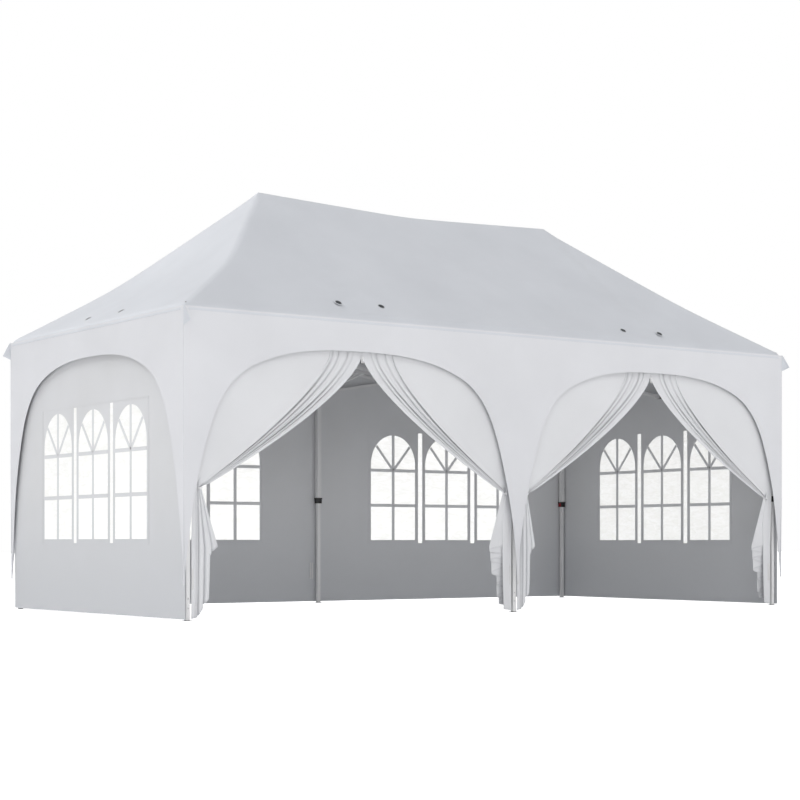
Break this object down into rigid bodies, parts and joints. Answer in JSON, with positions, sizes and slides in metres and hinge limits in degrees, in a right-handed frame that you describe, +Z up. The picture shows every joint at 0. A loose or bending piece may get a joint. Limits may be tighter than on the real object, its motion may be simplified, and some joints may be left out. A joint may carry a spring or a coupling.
{
  "type": "marquee tent",
  "caption": "Pop-up marquee with a two-peaked cover, arched skirts, window walls, tied-back door curtains and telescopic legs on a scissor frame.",
  "frame": {"origin": "middle of the footprint on the ground", "axes": "+Z up, +X to the right along the long front, -Y out of the front with the door curtains"},
  "size_m": [6, 3, 3.4],
  "materials": {
    "cover_cloth": "white coated polyester, fine weave",
    "wall_cloth": "white coated polyester, slightly translucent",
    "curtain_cloth": "white coated polyester, gathered",
    "window_film": "clear flexible film, slightly milky",
    "frame_steel": "pale grey powder coat",
    "lock_nylon": "black moulded nylon"
  },
  "bodies": {
    "marquee": {"back_left_wall": "wall_cloth", "back_left_wall_windows": "window_film", "back_right_wall": "wall_cloth", "back_right_wall_windows": "window_film", "back_truss_left": "frame_steel", "back_truss_right": "frame_steel", "back_valance": "cover_cloth", "cross_truss_left": "frame_steel", "cross_truss_right": "frame_steel", "curtain_left_bay_left": "curtain_cloth", "curtain_left_bay_right": "curtain_cloth", "curtain_right_bay_left": "curtain_cloth", "curtain_right_bay_right": "curtain_cloth", "front_truss_left": "frame_steel", "front_truss_right": "frame_steel", "front_valance": "cover_cloth", "left_end_truss": "frame_steel", "left_valance": "cover_cloth", "left_wall": "wall_cloth", "left_wall_windows": "window_film", "leg_lock_back_left": "lock_nylon", "leg_lock_back_middle": "lock_nylon", "leg_lock_back_right": "lock_nylon", "leg_lock_front_left": "lock_nylon", "leg_lock_front_middle": "lock_nylon", "leg_lock_front_right": "lock_nylon", "middle_truss": "frame_steel", "peak_pole_left": "frame_steel", "peak_pole_right": "frame_steel", "ridge_truss_left_inner": "frame_steel", "ridge_truss_left_outer": "frame_steel", "ridge_truss_right_inner": "frame_steel", "ridge_truss_right_outer": "frame_steel", "right_end_truss": "frame_steel", "right_valance": "cover_cloth", "right_wall": "wall_cloth", "right_wall_windows": "window_film", "roof_cover": "cover_cloth", "upper_leg_back_left": "frame_steel", "upper_leg_back_middle": "frame_steel", "upper_leg_back_right": "frame_steel", "upper_leg_front_left": "frame_steel", "upper_leg_front_middle": "frame_steel", "upper_leg_front_right": "frame_steel"},
    "lower_leg_front_left": {"lower_leg_front_left": "frame_steel"},
    "lower_leg_front_middle": {"lower_leg_front_middle": "frame_steel"},
    "lower_leg_front_right": {"lower_leg_front_right": "frame_steel"},
    "lower_leg_back_left": {"lower_leg_back_left": "frame_steel"},
    "lower_leg_back_middle": {"lower_leg_back_middle": "frame_steel"},
    "lower_leg_back_right": {"lower_leg_back_right": "frame_steel"}
  },
  "joints": [
    {"name": "front_left_leg_slide", "type": "slide", "parent": "marquee", "child": "lower_leg_front_left", "axis": [0, 0, 1], "range_m": [0, 0.85]},
    {"name": "front_middle_leg_slide", "type": "slide", "parent": "marquee", "child": "lower_leg_front_middle", "axis": [0, 0, 1], "range_m": [0, 0.85]},
    {"name": "front_right_leg_slide", "type": "slide", "parent": "marquee", "child": "lower_leg_front_right", "axis": [0, 0, 1], "range_m": [0, 0.85]},
    {"name": "back_left_leg_slide", "type": "slide", "parent": "marquee", "child": "lower_leg_back_left", "axis": [0, 0, 1], "range_m": [0, 0.85]},
    {"name": "back_middle_leg_slide", "type": "slide", "parent": "marquee", "child": "lower_leg_back_middle", "axis": [0, 0, 1], "range_m": [0, 0.85]},
    {"name": "back_right_leg_slide", "type": "slide", "parent": "marquee", "child": "lower_leg_back_right", "axis": [0, 0, 1], "range_m": [0, 0.85]}
  ]
}
